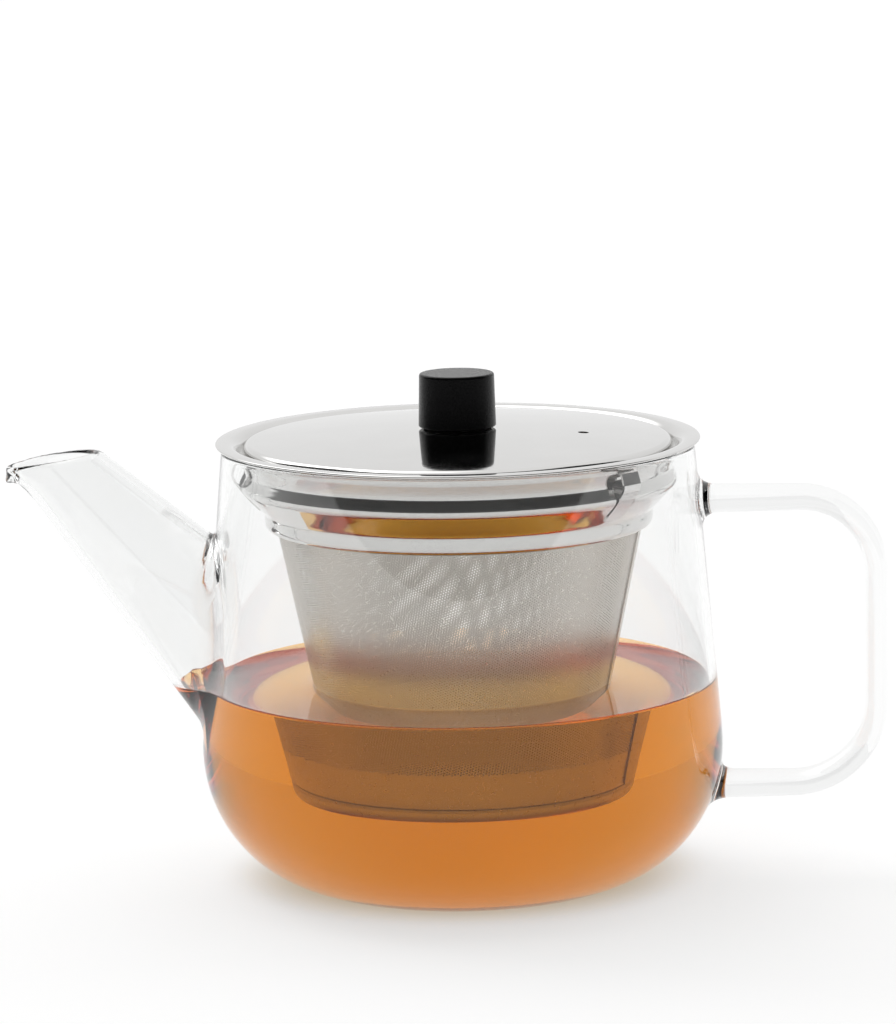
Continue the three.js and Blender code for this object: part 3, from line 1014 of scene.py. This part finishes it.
def make_basket_base():
    """The cupped base: a rounded foot under the wall, and a lip that stands inside it."""
    rim_r = BASKET_LOW_R - BASE_STEP_IN
    rim_z = BASKET_LOW_Z - BASE_GAP
    lip_r = BASKET_LOW_R - LIP_STEP_IN
    floor_z = BASKET_BASE_Z + BASKET_BASE_SHEET
    corners = [
        (0, BASKET_BASE_Z, 0),
        (rim_r, BASKET_BASE_Z, FOOT_ROUND),
        (rim_r, rim_z, 0.25),
        (lip_r, rim_z, 0.1),
        (lip_r, rim_z + LIP_RISE, 0.2),
        (lip_r - BASKET_BASE_SHEET, rim_z + LIP_RISE, 0.2),
        (lip_r - BASKET_BASE_SHEET, floor_z, FOOT_INNER_ROUND),
        (0, floor_z, 0),
    ]
    base = revolve("basket_base_cup", rounded(corners), 144, False)
    sharpen(base, 50)
    return base


# ---------------------------------------------------------------- the lid


def lid_height(radius):
    return LID_APEX_Z - radius**2 / (2 * LID_DOME_R)


def make_lid():
    """The domed disc with its turned-down skirt, and the steam vent."""
    shoulder_r = LID_R - LID_EDGE_ROUND
    shoulder_z = lid_height(shoulder_r) - LID_EDGE_ROUND
    turn = np.linspace(0, math.pi / 2, 12)
    edge = np.stack(
        [shoulder_r + LID_EDGE_ROUND * np.cos(turn), shoulder_z + LID_EDGE_ROUND * np.sin(turn)], 1
    )
    heights = np.linspace(0, 1, 6)[:-1, None]
    skirt_foot = np.array([LID_SKIRT_R, LID_SKIRT_Z])
    skirt = skirt_foot + (edge[0] - skirt_foot) * heights
    radii = np.linspace(shoulder_r - 0.15, SCREW_HOLE_R, 26)
    dome = np.stack([radii, lid_height(radii)], 1)
    outline = sheet_outline(np.concatenate([skirt, edge, dome]), LID_SHEET)
    lid = revolve("lid_plate", outline, 192, True)
    drill = revolve("drill", [(0, 100), (VENT_R, 100), (VENT_R, 120), (0, 120)], 32, False)
    drill.data.transform(Matrix.Translation((VENT_PLACE[0] * MM, VENT_PLACE[1] * MM, 0)))
    combine(lid, drill, "DIFFERENCE")
    sharpen(lid)
    return lid


def make_knob():
    """The knob, with its recess for the washer and its bore for the insert."""
    corners = [
        (0, KNOB_BORE_Z, 0),
        (KNOB_BORE_R, KNOB_BORE_Z, 0.1),
        (KNOB_BORE_R, KNOB_RECESS_Z, 0.1),
        (KNOB_RECESS_R, KNOB_RECESS_Z, 0.1),
        (KNOB_RECESS_R, KNOB_LOW_Z, 0.1),
        (KNOB_LOW_R - 0.3, KNOB_LOW_Z, 0.05),
        (KNOB_LOW_R, KNOB_LOW_Z + 0.3, 0.05),
        (KNOB_TOP_R, KNOB_TOP_Z, 0.7),
        (0, KNOB_TOP_Z, 0),
    ]
    knob = revolve("knob_moulding", rounded(corners), 128, False)
    sharpen(knob, 50)
    return knob


# ---------------------------------------------------------------- camera, floor and light

AIM = Vector((-2.7, 0.0, 92.9)) * MM
CAMERA_DISTANCE = 1.2
CAMERA_TILT = math.radians(9.65)
CAMERA_ROLL = math.radians(-1.02)
CAMERA_LENS = 169.9
SENSOR_WIDTH = 36
GLASS_IOR = 1.47
TEA_IOR = 1.333
KEY_LAMP_WAY = Vector((-0.5, 0.35, 0.79)).normalized()
KEY_LAMP_STRENGTH = 2.6
KEY_LAMP_EDGE = (0.8, 0.97)  # where its light starts and is full, as cosines from its middle
STUDIO_LIGHT = (1.15, 1.3)  # low in the room and high in it
STUDIO_HEIGHTS = (0.1, 0.9)
FLOOR_R = 7000
FLOOR_LOW_Z = -3
FLOOR_TOP_Z = -0.1
FLOOR_GLOW = 0.67
# A painted shadow: the floor's glow is darker round the pot, as if shaded by it, and tinted warm
# like light through the tea.
PAINTED_SHADOW_PLACE = (0, 0.01, 0)  # in metres, as is its edge
PAINTED_SHADOW_EDGE = (0.038, 0.064)

# The dark room in front: its sides as angles from straight in front, and its top.
DARK_LEFT = (math.radians(-122), math.radians(-112))
DARK_RIGHT = (math.radians(98), math.radians(108))
DARK_TOP = (0.78, 0.92)
ROOM_GLOOM = 0.97  # how much darker the dark room in front is than the studio
LOST_AFTER = 6.5  # crossings of glass and tea, after which light counts as lost in the pot
LOST_LIGHT = 0.85  # how much of the gloom lost light is spared
LOW_LIGHT = 0.08  # how much of the gloom is spared low in the room
LOW_LIGHT_EDGE = (0.25, 0.45)


def add_camera():
    data = bpy.data.cameras.new("camera")
    data.lens = CAMERA_LENS
    data.sensor_width = SENSOR_WIDTH
    data.clip_start, data.clip_end = 0.05, 60
    camera = bpy.data.objects.new("camera", data)
    back = Vector((0, -math.cos(CAMERA_TILT), math.sin(CAMERA_TILT)))
    tilt = Matrix.Rotation(math.pi / 2 - CAMERA_TILT, 4, "X")
    roll = Matrix.Rotation(CAMERA_ROLL, 4, "Z")
    camera.matrix_world = Matrix.Translation(AIM + back * CAMERA_DISTANCE) @ tilt @ roll
    bpy.context.scene.collection.objects.link(camera)
    bpy.context.scene.camera = camera


def add_floor():
    """A wide pale floor just under the pot, which glows a little, with a painted shadow round the
    pot, tinted warm like light through the tea.
    """
    side = [(FLOOR_R, FLOOR_LOW_Z), (FLOOR_R, FLOOR_TOP_Z)]
    floor = revolve("floor", [(0, FLOOR_LOW_Z), *side, (0, FLOOR_TOP_Z)], 64, False)
    sharpen(floor)
    material, nodes = new_material("floor")
    speckle = nodes.noise(3, 2.0)
    place = nodes.add("ShaderNodeTexCoord").outputs["Object"]
    ends = {0: place, 1: PAINTED_SHADOW_PLACE}
    from_pot = nodes.add("ShaderNodeVectorMath", ends, operation="DISTANCE")
    away = nodes.ramp(from_pot.outputs["Value"], *PAINTED_SHADOW_EDGE, 0.0, 1.0)
    finish_surface(
        nodes,
        {
            "Base Color": nodes.blend(speckle, (0.40, 0.40, 0.40), (0.42, 0.42, 0.42)),
            "Roughness": 0.9,
            "Specular IOR Level": 0.0,
            # Painted shadow: the glow is darker and warm-tinted near the pot, white farther off.
            "Emission Color": nodes.blend(away, (0.6, 0.5, 0.36), (1.0, 1.0, 1.0)),
            "Emission Strength": FLOOR_GLOW,
        },
    )
    floor.data.materials.append(material)


def add_world():
    """A white studio with a lamp high on the left and a dark room in front of the pot.

    The dark room is for what is mirrored or seen through the pot. The camera itself sees the
    studio plain white, and light lost in the pot sees little of the gloom.
    """
    world = bpy.data.worlds.new("studio")
    world.use_nodes = True
    bpy.context.scene.world = world
    nodes = Nodes(world.node_tree)
    way = nodes.add("ShaderNodeTexCoord").outputs["Generated"]
    x, y, z = nodes.add("ShaderNodeSeparateXYZ", {"Vector": way}).outputs
    azimuth = nodes.math("ARCTAN2", x, nodes.math("MULTIPLY", y, -1.0))
    right_of_left_edge = nodes.ramp(azimuth, *DARK_LEFT, 0.0, 1.0)
    left_of_right_edge = nodes.ramp(azimuth, *DARK_RIGHT, 1.0, 0.0)
    across = nodes.math("MULTIPLY", right_of_left_edge, left_of_right_edge)
    dark = nodes.math("MULTIPLY", across, nodes.ramp(z, *DARK_TOP, 1.0, 0.0))
    ways = {0: way, 1: KEY_LAMP_WAY}
    towards_lamp = nodes.add("ShaderNodeVectorMath", ways, operation="DOT_PRODUCT")
    lamp = nodes.ramp(towards_lamp.outputs["Value"], *KEY_LAMP_EDGE, 0.0, KEY_LAMP_STRENGTH)
    lit = nodes.math("ADD", nodes.ramp(z, *STUDIO_HEIGHTS, *STUDIO_LIGHT), lamp)
    path = nodes.add("ShaderNodeLightPath")
    lost = nodes.math("GREATER_THAN", path.outputs["Transmission Depth"], LOST_AFTER)
    spared_lost = nodes.math("MULTIPLY", lost, LOST_LIGHT)
    spared_low = nodes.ramp(z, *LOW_LIGHT_EDGE, LOW_LIGHT, 0.0)
    spared = nodes.math("MAXIMUM", spared_lost, spared_low)
    gloom = nodes.math("SUBTRACT", ROOM_GLOOM, spared)
    shade = nodes.math("MULTIPLY", nodes.ramp(dark, 0.0, 1.0, 0.0, 1.0), gloom)
    lit = nodes.math("MULTIPLY", lit, nodes.math("SUBTRACT", 1.0, shade))
    seen = path.outputs["Is Camera Ray"]
    strength = nodes.add("ShaderNodeMix", data_type="FLOAT")
    nodes.put(strength.inputs[0], seen)
    nodes.put(strength.inputs[2], lit)
    strength.inputs[3].default_value = 1.0
    background = nodes.add("ShaderNodeBackground", {"Strength": strength.outputs[0]})
    nodes.add("ShaderNodeOutputWorld", {"Surface": background.outputs[0]})


def set_render_quality():
    """Enough bounces for light to cross the glass, the tea and the etched basket."""
    scene = bpy.context.scene
    scene.view_settings.view_transform = "Standard"
    scene.cycles.max_bounces = 32
    scene.cycles.transmission_bounces = 32
    scene.cycles.glossy_bounces = 16
    scene.cycles.transparent_max_bounces = 24
    scene.cycles.sample_clamp_indirect = 8.0


# ---------------------------------------------------------------- the whole scene


def place(piece, material, body, slot=None, stands_for=()):
    """Gives a piece its material, its body and the CAD nodes that it stands for."""
    if material:
        piece.data.materials.clear()
        piece.data.materials.append(material)
    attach(piece, body)
    if stands_for:
        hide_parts(*stands_for)


def main():
    dry = make_glass("clear_glass", GLASS_IOR, (0.95, 0.955, 0.952), (0.965, 0.968, 0.966))
    wet_ior = GLASS_IOR / TEA_IOR
    wet = make_glass("tea_stained_glass", wet_ior, (0.94, 0.6, 0.2), (0.965, 0.65, 0.26))
    polished, satin, etched = make_polished_steel(), make_satin_steel(), make_etched_steel()
    glass_nodes = ("glass_body", "glass_spout", "glass_handle")
    place(make_pot(dry, wet), None, "pot", "clear_glass", glass_nodes)
    place(make_tea_body(make_tea_colour()), None, "pot")
    place(make_tea_surface(make_tea_film()), None, "pot")
    place(make_collar(), polished, "infuser", "polished_steel", ("infuser_collar",))
    place(make_basket_wall(), etched, "infuser", "etched_steel", ("basket_wall",))
    place(make_basket_base(), satin, "infuser", "etched_steel", ("basket_base",))
    place(make_lid(), polished, "lid", "polished_steel", ("lid_disc",))
    place(make_knob(), make_black_plastic(), "lid", "black_plastic", ("lid_knob",))
    kept = {"knob_washer": make_silicone(), "knob_insert": make_brass(), "knob_screw": polished}
    for name, material in kept.items():
        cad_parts[name].material_slots[0].material = material
    add_camera()
    add_floor()
    add_world()
    set_render_quality()


main()
